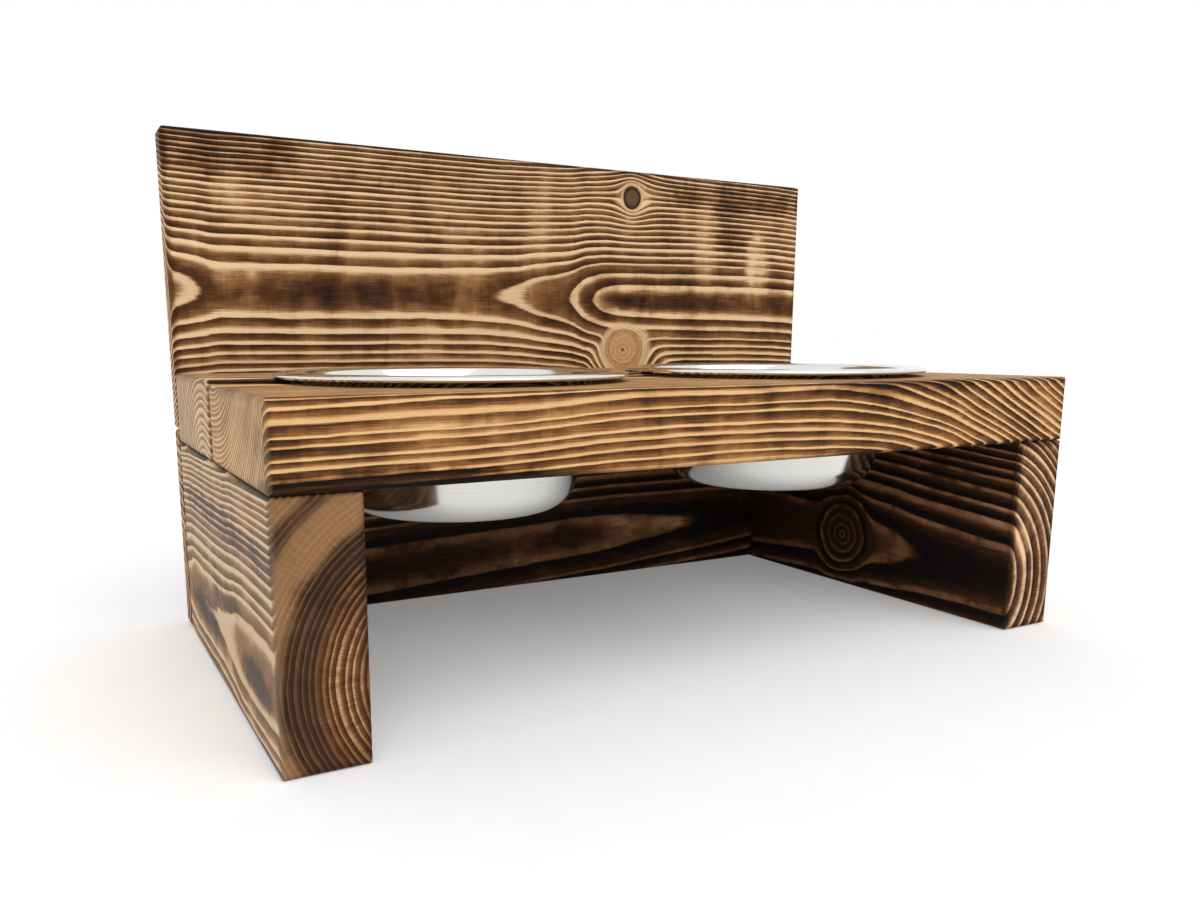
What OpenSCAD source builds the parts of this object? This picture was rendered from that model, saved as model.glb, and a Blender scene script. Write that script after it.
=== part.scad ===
// Raised feeding stand for two bowls, built from thick scorched softwood boards.
// X runs along the stand, Y from the open front to the back, Z up from the floor.
// The origin is the middle of the footprint, at floor level.

/* [Stand] */
// Length of the stand from end to end
stand_w = 560; // [540:5:700]
// Thickness of each leg board
leg_t = 45; // [40:1:52]
// Height of the legs, from the floor to the underside of the top
leg_h = 136; // [125:1:220]
// Radius of the eased edges on the thick boards
edge_r = 3; // [1:0.5:4]

/* [Top boards] */
// Width of the front top board, front to back
front_board_w = 145; // [140:1:160]
// Thickness of the front top board
front_board_t = 45; // [40:0.5:47]
// Width of the rear top board, front to back
rear_board_w = 133; // [125:1:150]
// Thickness of the rear top board, which stands a little proud of the front one
rear_board_t = 47.5; // [47:0.5:55]
// Open joint between the two top boards
board_gap = 6; // [2:0.5:10]

/* [Back boards] */
// Thickness of both back boards
back_t = 24; // [20:1:28]
// Height of the upper back board
upper_back_h = 204; // [120:1:260]
// How far the lower back board laps up over the rear top board
back_lap = 8; // [2:1:12]
// Radius of the eased edges on the back boards
back_edge_r = 4; // [1:0.5:5]

/* [Bowls] */
// Distance between the two bowl centres
bowl_pitch = 261; // [240:1:270]
// Outer diameter of the rolled rim
bowl_rim_d = 223; // [210:1:230]
// Width of the rim, from the wall to its outer edge
rim_w = 13; // [11:0.5:16]
// Depth from the seat under the rim to the underside of the base
bowl_depth = 84; // [60:1:100]
// Diameter of the flat floor inside the rounded corner
bowl_floor_d = 115; // [90:1:130]
// Outside radius of the corner between floor and wall
bowl_corner_r = 21; // [12:1:28]
// Thickness of the steel sheet
sheet_t = 0.8; // [0.6:0.1:1.2]
// Gap left between the bowl wall and the cut-out in the boards
cutout_clearance = 2.5; // [1:0.5:4]
// Running gap between the rim and the board that it rests on
seat_clearance = 0.2; // [0.1:0.1:0.3]

/* [Dowels and screws] */
// Diameter of the glued dowels between legs and top boards
dowel_d = 10; // [6:1:12]
// Length of a dowel, half of it in each board
dowel_l = 40; // [30:2:50]
// Distance from a dowel to the long edge of its top board
dowel_inset = 32; // [22:1:40]
// Gap round a dowel for the glue
dowel_clearance = 0.1; // [0.05:0.05:0.2]
// Spare depth under the end of a dowel
dowel_end_room = 1; // [0.5:0.5:2]
// Length of the countersunk screws
screw_l = 50; // [40:5:55]
// Core diameter of the screw shank
screw_core_d = 4; // [3:0.5:4.5]
// Diameter of the screw head
screw_head_d = 8.8; // [8:0.2:10]
// Gap between a screw and its hole
screw_clearance = 0.05; // [0.05:0.05:0.1]
// Depth of the screw head below the face of the board
screw_sink = 0.4; // [0.2:0.1:1]
// Distance of the leg screws from the floor and from the top of the leg
leg_screw_inset = 34; // [30:1:45]
// Number of screws through the upper back board
back_screws = 5; // [3:1:7]
// Distance of the outer back screws from the ends of the board
back_screw_inset = 40; // [36:1:60]

/* [Hidden] */
DOWELS_PER_LEG = 4;
LEG_SCREWS_PER_LEG = 2;
SIDES = ["left", "right"];
BOARD_NODES = ["left_leg", "right_leg", "front_top_board", "rear_top_board",
               "upper_back_board", "lower_back_board"];
DOWEL_NODES = [for (side = SIDES) for (i = [1:DOWELS_PER_LEG]) str("dowel_", side, "_", i)];
LEG_SCREW_NODES = [for (side = SIDES) for (i = [1:LEG_SCREWS_PER_LEG])
                   str("leg_screw_", side, "_", i)];
BACK_SCREW_NODES = [for (i = [1:back_screws]) str("back_screw_", i)];

$fn = 64;
SCORCHED_PINE = [0.42, 0.26, 0.14];
DARK_PINE = [0.20, 0.12, 0.08];
BEECH = [0.80, 0.64, 0.42];
STEEL = [0.80, 0.81, 0.82];
ZINC = [0.78, 0.70, 0.42];

// Places along Y, from the front face of the stand to the wall behind it.
leg_d = front_board_w + board_gap + rear_board_w;
stand_d = leg_d + back_t;
front_y = -stand_d / 2;
rear_board_y = front_y + front_board_w + board_gap;
back_y = front_y + leg_d;
bowl_y = front_y + leg_d / 2;

// Places along Z.
lower_back_h = leg_h + back_lap;
seat_z = leg_h + max(front_board_t, rear_board_t) + seat_clearance;

// Places along X.
leg_x = stand_w / 2 - leg_t;
leg_mid_x = stand_w / 2 - leg_t / 2;

// Rim and wall of a bowl, as arcs of its upper surface seen from the bowl's axis.
// The crown of the rim runs smoothly into the bend at the mouth and into the rolled edge.
RIM_CROWN_R = 12;
RIM_ROLL_R = 1.4;
MOUTH_BEND_R = 3;
ARC_STEPS = 12;
BOWL_STEPS = 128;
crown_half_angle = asin((rim_w - RIM_ROLL_R - MOUTH_BEND_R)
                        / (2 * RIM_CROWN_R - RIM_ROLL_R - MOUTH_BEND_R));
crown_side = [sin(crown_half_angle), cos(crown_half_angle)];
roll_c = [bowl_rim_d / 2 - RIM_ROLL_R, RIM_ROLL_R];
crown_c = roll_c - (RIM_CROWN_R - RIM_ROLL_R) * crown_side;
bend_c = crown_c + (RIM_CROWN_R - MOUTH_BEND_R) * [-crown_side[0], crown_side[1]];
corner_c = [bowl_floor_d / 2, bowl_corner_r - bowl_depth];
wall_run = bend_c - corner_c;
wall_tilt = acos((bowl_corner_r - sheet_t + MOUTH_BEND_R) / norm(wall_run))
            - atan2(wall_run[1], wall_run[0]);
cutout_r = bowl_rim_d / 2 - rim_w + sheet_t + cutout_clearance;

// Screw shape and the recess in its head.
SCREW_TIP_L = 7;
SCREW_HEAD_EDGE = 0.5;
RECESS_R = 2.1;
RECESS_CORE_R = 1.7;
RECESS_LOBE_R = 0.4;
RECESS_DEPTH = 2.2;
RECESS_LOBES = 6;
DOWEL_CHAMFER = 1;
HOLE_OVERSHOOT = 1;

function arc_points(centre, r, a0, a1) =
    [for (i = [0:ARC_STEPS]) let (a = a0 + (a1 - a0) * i / ARC_STEPS)
        centre + r * [cos(a), sin(a)]];

// One face of the bowl's sheet, lift above its underside, from the axis to the rim's lip.
function sheet_face(lift) = concat(
    [[0, lift - bowl_depth]],
    arc_points(corner_c, bowl_corner_r - lift, -90, -wall_tilt),
    arc_points(bend_c, MOUTH_BEND_R - sheet_t + lift, 180 - wall_tilt, 90 + crown_half_angle),
    arc_points(crown_c, RIM_CROWN_R - sheet_t + lift, 90 + crown_half_angle, 90 - crown_half_angle),
    arc_points(roll_c, RIM_ROLL_R - sheet_t + lift, 90 - crown_half_angle, -90));

function reversed(list) = [for (i = [len(list) - 1:-1:0]) list[i]];

// Where the dowels of one leg stand along Y: two under each top board.
dowel_ys = [front_y + dowel_inset,
            front_y + front_board_w - dowel_inset,
            rear_board_y + dowel_inset,
            rear_board_y + rear_board_w - dowel_inset];
leg_screw_zs = [leg_screw_inset, leg_h - leg_screw_inset];
back_screw_z = leg_h + rear_board_t / 2;
back_screw_run = stand_w - 2 * back_screw_inset;
back_screw_xs = [for (i = [0:back_screws - 1])
    -back_screw_run / 2 + i * back_screw_run / (back_screws - 1)];
screw_head_y = back_y + back_t - screw_sink;

module rounded_rectangle(size, r) {
    translate([r, 0]) square([size.x - 2 * r, size.y]);
    translate([0, r]) square([size.x, size.y - 2 * r]);
    for (x = [r, size.x - r], y = [r, size.y - r])
        translate([x, y]) circle(r);
}

// A sawn board with all its edges sanded round.
module eased_board(size, r) {
    intersection() {
        linear_extrude(size.z) rounded_rectangle([size.x, size.y], r);
        translate([0, size.y, 0]) rotate([90, 0, 0])
            linear_extrude(size.y) rounded_rectangle([size.x, size.z], r);
        rotate([90, 0, 90])
            linear_extrude(size.x) rounded_rectangle([size.y, size.z], r);
    }
}

module dowel_hole() {
    half = dowel_l / 2 + dowel_end_room;
    translate([0, 0, -half]) cylinder(h = 2 * half, d = dowel_d + 2 * dowel_clearance);
}

module dowel(x, y) {
    translate([x, y, leg_h - dowel_l / 2]) {
        translate([0, 0, DOWEL_CHAMFER])
            cylinder(h = dowel_l - 2 * DOWEL_CHAMFER, d = dowel_d);
        cylinder(h = DOWEL_CHAMFER, d1 = dowel_d - 2 * DOWEL_CHAMFER, d2 = dowel_d);
        translate([0, 0, dowel_l - DOWEL_CHAMFER])
            cylinder(h = DOWEL_CHAMFER, d1 = dowel_d, d2 = dowel_d - 2 * DOWEL_CHAMFER);
    }
}

// Screw outline turned about Z, its head's top at 0 and its tip below.
module screw_body(gap) {
    core_r = screw_core_d / 2 + gap;
    head_r = screw_head_d / 2 + gap;
    rotate_extrude() polygon([
        [0, 0],
        [head_r, 0],
        [head_r, -SCREW_HEAD_EDGE],
        [core_r, -SCREW_HEAD_EDGE - head_r + core_r],
        [core_r, SCREW_TIP_L - screw_l],
        [0, -screw_l - gap]]);
}

module star_recess() {
    linear_extrude(RECESS_DEPTH + HOLE_OVERSHOOT) {
        circle(RECESS_CORE_R);
        for (i = [0:RECESS_LOBES - 1])
            rotate(i * 360 / RECESS_LOBES)
                translate([RECESS_R - RECESS_LOBE_R, 0]) circle(RECESS_LOBE_R);
    }
}

// Puts a screw's outline at a place on the back, pointing into the stand.
module from_the_back(x, z) {
    translate([x, screw_head_y, z]) rotate([-90, 0, 0]) children();
}

module screw(x, z) {
    color(ZINC) from_the_back(x, z) difference() {
        screw_body(0);
        translate([0, 0, -RECESS_DEPTH]) star_recess();
    }
}

module screw_hole(x, z) {
    from_the_back(x, z) {
        screw_body(screw_clearance);
        cylinder(h = screw_sink + HOLE_OVERSHOOT, d = screw_head_d + 2 * screw_clearance);
    }
}

module bowl_cutouts() {
    for (side = [-1, 1])
        translate([side * bowl_pitch / 2, bowl_y, leg_h - HOLE_OVERSHOOT])
            cylinder(h = max(front_board_t, rear_board_t) + 2 * HOLE_OVERSHOOT,
                     r = cutout_r, $fn = BOWL_STEPS);
}

module leg(side) {
    color(SCORCHED_PINE) difference() {
        translate([side > 0 ? leg_x : -stand_w / 2, front_y, 0])
            eased_board([leg_t, leg_d, leg_h], edge_r);
        for (y = dowel_ys) translate([side * leg_mid_x, y, leg_h]) dowel_hole();
        for (z = leg_screw_zs) screw_hole(side * leg_mid_x, z);
    }
}

module top_board(y, w, t) {
    color(SCORCHED_PINE) difference() {
        translate([-stand_w / 2, y, leg_h]) eased_board([stand_w, w, t], edge_r);
        bowl_cutouts();
        for (side = [-1, 1], hole_y = dowel_ys)
            if (hole_y > y && hole_y < y + w)
                translate([side * leg_mid_x, hole_y, leg_h]) dowel_hole();
        for (x = back_screw_xs) screw_hole(x, back_screw_z);
    }
}

module upper_back_board() {
    color(SCORCHED_PINE) difference() {
        translate([-stand_w / 2, back_y, lower_back_h])
            eased_board([stand_w, back_t, upper_back_h], back_edge_r);
        for (x = back_screw_xs) screw_hole(x, back_screw_z);
    }
}

module lower_back_board() {
    color(DARK_PINE) difference() {
        translate([-stand_w / 2, back_y, 0])
            eased_board([stand_w, back_t, lower_back_h], back_edge_r);
        for (side = [-1, 1], z = leg_screw_zs) screw_hole(side * leg_mid_x, z);
    }
}

module bowl(side) {
    color(STEEL) translate([side * bowl_pitch / 2, bowl_y, seat_z])
        rotate_extrude($fn = BOWL_STEPS)
            polygon(concat(sheet_face(0), reversed(sheet_face(sheet_t))));
}

leg(-1);  // left_leg
leg(1);  // right_leg
top_board(front_y, front_board_w, front_board_t);  // front_top_board
top_board(rear_board_y, rear_board_w, rear_board_t);  // rear_top_board
upper_back_board();
lower_back_board();
bowl(-1);  // left_bowl
bowl(1);  // right_bowl

for (s = [0, 1], i = [1:DOWELS_PER_LEG])
    color(BEECH) dowel((2 * s - 1) * leg_mid_x, dowel_ys[i - 1]);

for (s = [0, 1], i = [1:LEG_SCREWS_PER_LEG])
    screw((2 * s - 1) * leg_mid_x, leg_screw_zs[i - 1]);

for (i = [1:back_screws])
    screw(back_screw_xs[i - 1], back_screw_z);
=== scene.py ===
"""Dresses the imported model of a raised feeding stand: scorched boards, spun steel bowls and their fixings.

Sizes in the settings are metres. Wood patterns are worked out in millimetres, because rings and
fibres are easier to read that way.
"""

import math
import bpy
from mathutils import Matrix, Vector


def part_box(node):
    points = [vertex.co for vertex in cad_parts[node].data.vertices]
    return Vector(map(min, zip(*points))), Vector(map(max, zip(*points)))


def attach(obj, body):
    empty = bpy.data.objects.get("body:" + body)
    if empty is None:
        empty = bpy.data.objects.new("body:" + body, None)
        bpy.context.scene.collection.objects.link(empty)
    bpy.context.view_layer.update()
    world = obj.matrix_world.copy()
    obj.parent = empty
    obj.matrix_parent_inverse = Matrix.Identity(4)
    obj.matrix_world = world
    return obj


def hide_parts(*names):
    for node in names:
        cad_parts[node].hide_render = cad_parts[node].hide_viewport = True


bl_info = {
    "name": "Raised Feeding Stand",
    "version": (1, 0, 0),
    "blender": (4, 5, 0),
    "location": "3D View > Sidebar > Feeding Stand",
    "description": "Scorched softwood boards, spun steel bowls, fluted dowels and screws",
    "category": "Object",
}

from typing import NamedTuple

import bpy
from bpy.props import FloatProperty, FloatVectorProperty, IntProperty, PointerProperty
from mathutils import Vector

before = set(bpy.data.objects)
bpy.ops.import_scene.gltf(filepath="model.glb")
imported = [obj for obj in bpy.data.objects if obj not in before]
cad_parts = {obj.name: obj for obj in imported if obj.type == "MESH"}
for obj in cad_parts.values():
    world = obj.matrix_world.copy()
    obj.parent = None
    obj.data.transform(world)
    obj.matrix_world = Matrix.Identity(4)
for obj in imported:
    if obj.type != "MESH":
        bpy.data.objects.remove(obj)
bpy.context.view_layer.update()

MM = 0.001
WHITE = (1, 1, 1, 1)

# Photograph: the image is 1200 by 919, and its vertical edges are upright, hence the small shift.
CAMERA_PLACE = (-0.36825, -0.58843, 0.20450)
CAMERA_PITCH = 79.967
CAMERA_YAW = -28.341
CAMERA_LENS = 28.864
CAMERA_NEAREST = 0.01
SENSOR_WIDTH = 36.0
SHIFT_X = 0.0377
SHIFT_Y = 0.0449

# Studio, with the lamp's spread in degrees.
KEY_PLACE = (0.1, -1.5, 1.7)
KEY_SPREAD = 60
FLOOR_GLOW = 0.17
FLOOR_SPECKS_IN_A_MM = 0.04

# Wood. A year runs from 0 to 1, tones run from char at 0 to pale wood at 1, reaches are millimetres.
LATE_WOOD_END = 0.94
TONE_STOPS = (("Brown", 0.0, 0.33), ("Honey", 0.33, 0.66), ("Pale", 0.66, 1.0))
SINGED_REACH = 6.0
RUBBED_REACH = 1.6
LUCK_IN_A_YEAR = 0.45
RAYS_IN_A_RADIAN = 70.0
RAY_BREAKS_IN_A_MM = 0.06

# Bends of a bowl's rim, by their outer radius, and how close its points are before they are welded.
RIM_CROWN_R = 0.012
RIM_ROLL_R = 0.0014
MOUTH_BEND_R = 0.003
WELD_GAP = 0.00002

# Dowels: faces round each flute, and the rings of faces along a pin.
FLUTE_FACES = 8.0
DOWEL_RINGS = 3


# Node trees


class Graph:
    """Adds nodes to one tree, one call each, and joins them as it goes."""

    def __init__(self, tree):
        self.tree = tree

    def feed(self, socket, value):
        """Links a socket to another one, or gives it a plain value."""
        if isinstance(value, bpy.types.NodeSocket):
            self.tree.links.new(value, socket)
        else:
            socket.default_value = value

    def node(self, kind, *inputs, **settings):
        """Makes a node, sets its options and feeds its inputs in order."""
        made = self.tree.nodes.new(kind)
        for name, value in settings.items():
            setattr(made, name, value)
        for socket, value in zip(made.inputs, inputs):
            self.feed(socket, value)
        return made

    def fill(self, made, **inputs):
        """Feeds a node's inputs by name, with _ for a space."""
        for name, value in inputs.items():
            self.feed(made.inputs[name.replace("_", " ")], value)
        return made

    def group(self, tree, item=None, **inputs):
        """Places a shader group. Inputs that aren't given come from the item's fields of that name."""
        made = self.node("ShaderNodeGroup", node_tree=tree)
        for socket in made.inputs:
            name = socket.name.replace(" ", "_")
            value = inputs[name] if name in inputs else getattr(item, name.lower())
            self.feed(socket, value)
        return made.outputs

    def maths(self, operation, *values):
        return self.node("ShaderNodeMath", *values, operation=operation).outputs[0]

    def plus(self, first, second):
        return self.maths("ADD", first, second)

    def minus(self, first, second):
        return self.maths("SUBTRACT", first, second)

    def times(self, first, second):
        return self.maths("MULTIPLY", first, second)

    def over(self, first, second):
        return self.maths("DIVIDE", first, second)

    def vector(self, operation, *values):
        made = self.node("ShaderNodeVectorMath", *values, operation=operation)
        single = operation in ("LENGTH", "DOT_PRODUCT")
        return made.outputs["Value" if single else "Vector"]

    def scaled(self, vector, factor):
        made = self.node("ShaderNodeVectorMath", vector, operation="SCALE")
        return self.fill(made, Scale=factor).outputs["Vector"]

    def split(self, vector):
        return self.node("ShaderNodeSeparateXYZ", vector).outputs

    def joined(self, x, y, z):
        return self.node("ShaderNodeCombineXYZ", x, y, z).outputs[0]

    def ramp(self, value, low, high, start=0.0, end=1.0, kind="SMOOTHSTEP"):
        """Eases a value from low..high to start..end, held at both ends."""
        made = self.node("ShaderNodeMapRange", value, low, high, start, end, interpolation_type=kind)
        return made.outputs[0]

    def slope(self, value, low, high, start=0.0, end=1.0):
        """The same as ramp, but in a straight line."""
        return self.ramp(value, low, high, start, end, kind="LINEAR")

    def sway(self, value, pattern, low, high, amount):
        """Moves a value down or up by an amount, as a pattern runs from low to high."""
        return self.plus(value, self.slope(pattern, low, high, -amount, amount))

    def mixed(self, kind, factor, first, second, **settings):
        """Mixes two values by the sockets that the node has for their kind."""
        made = self.node("ShaderNodeMix", factor, **settings)
        sockets = {socket.identifier: socket for socket in (*made.inputs, *made.outputs)}
        self.feed(sockets["A_" + kind], first)
        self.feed(sockets["B_" + kind], second)
        return sockets["Result_" + kind]

    def blend(self, factor, first, second, mode="MIX"):
        return self.mixed("Color", factor, first, second, data_type="RGBA", blend_type=mode)

    def lerp(self, factor, first, second):
        return self.mixed("Float", factor, first, second, data_type="FLOAT")

    def noise(self, position, cycles=1.0, detail=2.0, roughness=0.5, distortion=0.0):
        """Noise with so many cycles to a unit of length, as one number or as one for each axis."""
        if isinstance(cycles, tuple):
            position = self.vector("MULTIPLY", position, cycles)
            cycles = 1.0
        made = self.node("ShaderNodeTexNoise", noise_dimensions="3D")
        self.fill(made, Vector=position, Scale=cycles, Detail=detail)
        self.fill(made, Roughness=roughness, Distortion=distortion)
        return made.outputs

    def jitter(self, position, cycles, detail, amount):
        """Noise that points to all sides alike, for shifting a place."""
        noise = self.noise(position, cycles, detail)["Color"]
        return self.scaled(self.vector("SUBTRACT", noise, (0.5, 0.5, 0.5)), amount)

    def along(self, distance, points):
        """A smooth curve through (distance, value) points, held beyond its ends, or one plain value."""
        if not isinstance(points, tuple):
            return points
        distances, values = zip(*points)
        first, last = min(distances), max(distances)
        least, most = min(values), max(values)
        made = self.node("ShaderNodeFloatCurve", 1.0, self.slope(distance, first, last))
        line = made.mapping.curves[0]
        shares = [
            ((place - first) / (last - first), (value - least) / (most - least))
            for place, value in sorted(points)
        ]
        line.points[0].location = shares[0]
        line.points[1].location = shares[-1]
        for share in shares[1:-1]:
            line.points.new(*share)
        made.mapping.update()
        return self.slope(made.outputs[0], 0.0, 1.0, least, most)


RESULT_KINDS = {"VALUE": "Float", "VECTOR": "Vector", "RGBA": "Color"}
COLUMN_WIDTH = 200
ROW_HEIGHT = 190


def add_inputs(tree, labels):
    """Gives a tree its inputs, by the names that each kind of socket has."""
    for kind, names in labels.items():
        for name in names:
            tree.interface.new_socket(name, in_out="INPUT", socket_type="NodeSocket" + kind)


def new_group(name, **labels):
    """Starts a shader node group, and returns its graph, its inputs and what finishes it."""
    tree = bpy.data.node_groups.new(name, "ShaderNodeTree")
    add_inputs(tree, labels)
    graph = Graph(tree)

    def finish(**results):
        for label, value in results.items():
            kind = "NodeSocket" + RESULT_KINDS[value.type]
            tree.interface.new_socket(label, in_out="OUTPUT", socket_type=kind)
        graph.fill(graph.node("NodeGroupOutput"), **results)
        tidy_layout(tree)
        return tree

    return graph, graph.node("NodeGroupInput").outputs, finish


def new_material(name):
    """Starts an empty material, and returns it with its graph, place in millimetres and normal."""
    material = bpy.data.materials.new(name)
    material.use_nodes = True
    material.node_tree.nodes.clear()
    graph = Graph(material.node_tree)
    texture = graph.node("ShaderNodeTexCoord").outputs
    return material, graph, graph.scaled(texture["Object"], 1 / MM), texture["Normal"]


def finish_surface(graph, colour, rough, relief, strength, depth, **others):
    """Ends a material with one surface that has its own colour, roughness and fine relief."""
    bump = graph.fill(graph.node("ShaderNodeBump"), Strength=strength, Distance=depth, Height=relief)
    surface = graph.node("ShaderNodeBsdfPrincipled")
    graph.fill(surface, Base_Color=colour, Roughness=rough, Normal=bump.outputs[0], **others)
    graph.node("ShaderNodeOutputMaterial", surface.outputs[0])
    tidy_layout(graph.tree)


def tidy_layout(tree):
    """Lays the nodes out in columns, from the inputs on the left to the outputs on the right."""
    column = {node.name: 0 for node in tree.nodes}
    for _ in range(len(tree.nodes)):
        moved = False
        for link in tree.links:
            wanted = column[link.from_node.name] + 1
            if column[link.to_node.name] < wanted:
                column[link.to_node.name] = wanted
                moved = True
        if not moved:
            break
    filled = {}
    for node in tree.nodes:
        place = column[node.name]
        node.location = (place * COLUMN_WIDTH, -filled.get(place, 0) * ROW_HEIGHT)
        filled[place] = filled.get(place, 0) + 1


# Wood


def trunk_rings():
    """How many years the tree was old where a point of the board grew."""
    graph, given, finish = new_group(
        "Trunk Rings",
        Vector=("Position",),
        Float=(
            "Pith Depth", "Pith Height", "Ring Width", "Crowding", "Drift",
            "Wander", "Ripple", "Unevenness",
        ),
    )
    place = given["Position"]
    shift = graph.vector(
        "ADD",
        graph.jitter(place, (1 / 160, 1 / 45, 1 / 45), 1.0, given["Wander"]),
        graph.jitter(place, (1 / 26, 1 / 8, 1 / 8), 1.0, given["Ripple"]),
    )
    pith = graph.joined(0.0, given["Pith Depth"], given["Pith Height"])
    arm = graph.vector("ADD", graph.vector("SUBTRACT", place, pith), shift)
    arm = graph.vector("MULTIPLY", arm, (0.0, 1.0, 1.0))
    radius = graph.vector("LENGTH", arm)
    crowding = graph.times(graph.times(radius, 0.5), given["Crowding"])
    years = graph.times(radius, graph.plus(crowding, 1.0))
    years = graph.plus(graph.over(years, given["Ring Width"]), given["Drift"])
    luck = graph.noise(graph.joined(graph.times(years, LUCK_IN_A_YEAR), 0.0, 0.0), detail=1.0)[0]
    years = graph.plus(years, graph.times(graph.minus(luck, 0.5), given["Unevenness"]))
    _, across, upward = graph.split(arm)
    angle = graph.maths("ARCTAN2", upward, across)
    turned = graph.times(angle, RAYS_IN_A_RADIAN)
    ray = graph.noise(graph.joined(turned, graph.times(radius, RAY_BREAKS_IN_A_MM), 0.0), detail=1.0)
    return finish(Rings=years, Radius=radius, Ray=ray[0])


def knot_rings():
    """Runs a branch's rings into the trunk's, so that the grain flows round the knot."""
    graph, given, finish = new_group(
        "Knot",
        Vector=("Position", "Centre", "Direction"),
        Float=("Rings", "Core Radius", "Core Rings", "Reach", "Pull"),
    )
    arm = graph.vector("SUBTRACT", given["Position"], given["Centre"])
    direction = graph.vector("NORMALIZE", given["Direction"])
    run = graph.vector("DOT_PRODUCT", arm, direction)
    across = graph.vector("SUBTRACT", arm, graph.scaled(direction, run))
    wobble = graph.noise(given["Position"], 1 / 28, detail=1.0)[0]
    radius = graph.times(graph.vector("LENGTH", across), graph.slope(wobble, 0.0, 1.0, 0.85, 1.15))
    taper = graph.plus(graph.over(run, given["Reach"]), 1.0)
    taper = graph.maths("MAXIMUM", taper, 0.1)
    share = graph.over(graph.over(radius, given["Core Radius"]), taper)
    collar = graph.maths("POWER", graph.over(share, 3.0), 4.0)
    collar = graph.plus(graph.maths("POWER", share, 0.7), collar)
    branch = graph.times(collar, given["Core Rings"])
    years = graph.maths("SMOOTH_MIN", given["Rings"], branch, given["Pull"])
    core = graph.ramp(share, 0.96, 1.04, 1.0, 0.0)
    return finish(Rings=years, Core=core, Distance=share)


def side_scorch_and_shade():
    """How deeply each side of a board is scorched, from the way that the side looks. Part of this is painted
    light and shade: the sides that face into the bay and the undersides are darker, and the brightly lit
    ends are paler.
    """
    sides = {"Right Back Top": "MAXIMUM", "Left Front Bottom": "MINIMUM"}
    graph, given, finish = new_group("Face Burn", Vector=("Normal", *sides))
    scorch_and_shade_parts = []
    for side, kept in sides.items():
        share = graph.vector(kept, given["Normal"], (0.0, 0.0, 0.0))
        share = graph.vector("MULTIPLY", share, share)
        scorch_and_shade_parts.append(graph.vector("DOT_PRODUCT", share, given[side]))
    return finish(Burn=graph.plus(*scorch_and_shade_parts))


def torch_patch():
    """A soft-edged place where the torch stayed longer, or hardly touched the wood."""
    graph, given, finish = new_group(
        "Torch Patch", Vector=("Position", "Centre", "Half Size"), Float=("Burn", "Amount")
    )
    arm = graph.vector("SUBTRACT", given["Position"], given["Centre"])
    arm = graph.vector("DIVIDE", arm, given["Half Size"])
    arm = graph.vector("ADD", arm, graph.jitter(given["Position"], 1 / 14, 2.0, 0.9))
    mask = graph.ramp(graph.vector("LENGTH", arm), 0.45, 1.25, 1.0, 0.0)
    return finish(Burn=graph.plus(graph.times(mask, given["Amount"]), given["Burn"]))


def year_band():
    """End grain where a run of years took one even tone, broken up along the wood's rays."""
    graph, given, finish = new_group(
        "Year Band",
        Color=("Color", "Tone"),
        Vector=("Position",),
        Float=("Radius", "Ray", "Middle", "Half Width", "Cover"),
    )
    ragged = graph.noise(given["Position"], 1 / 34)[0]
    away = graph.maths("ABSOLUTE", graph.minus(given["Radius"], given["Middle"]))
    away = graph.sway(graph.over(away, given["Half Width"]), ragged, 0.25, 0.75, 0.35)
    mask = graph.times(graph.ramp(away, 0.5, 1.4, 1.0, 0.0), given["Cover"])
    mask = graph.times(mask, graph.slope(given["Ray"], 0.3, 0.7, 1.0, 0.8))
    return finish(Color=graph.blend(mask, given["Color"], given["Tone"]))


def flow_round():
    """Parts the grain round a small knot, the way that water parts round a stone."""
    graph, given, finish = new_group("Flow Round", Vector=("Position", "Centre"), Float=("Radius",))
    arm = graph.vector("SUBTRACT", given["Position"], given["Centre"])
    flat = graph.vector("LENGTH", graph.vector("MULTIPLY", arm, (1.0, 0.0, 1.0)))
    share = graph.over(given["Radius"], graph.maths("MAXIMUM", flat, given["Radius"]))
    aside = graph.vector("MULTIPLY", arm, (0.0, 0.0, 1.0))
    aside = graph.scaled(aside, graph.times(share, share))
    return finish(Position=graph.vector("SUBTRACT", given["Position"], aside))


def edge_distance():
    """Distance of a point of a board's surface from the nearest long or short edge."""
    graph, given, finish = new_group("Edge Distance", Vector=("Position", "Lowest", "Highest"))
    from_low = graph.vector("SUBTRACT", given["Position"], given["Lowest"])
    from_high = graph.vector("SUBTRACT", given["Highest"], given["Position"])
    x, y, z = graph.split(graph.vector("MINIMUM", from_low, from_high))
    smaller = graph.maths("MINIMUM", x, y)
    larger = graph.maths("MAXIMUM", x, y)
    return finish(Distance=graph.maths("MAXIMUM", smaller, graph.maths("MINIMUM", larger, z)))


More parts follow.
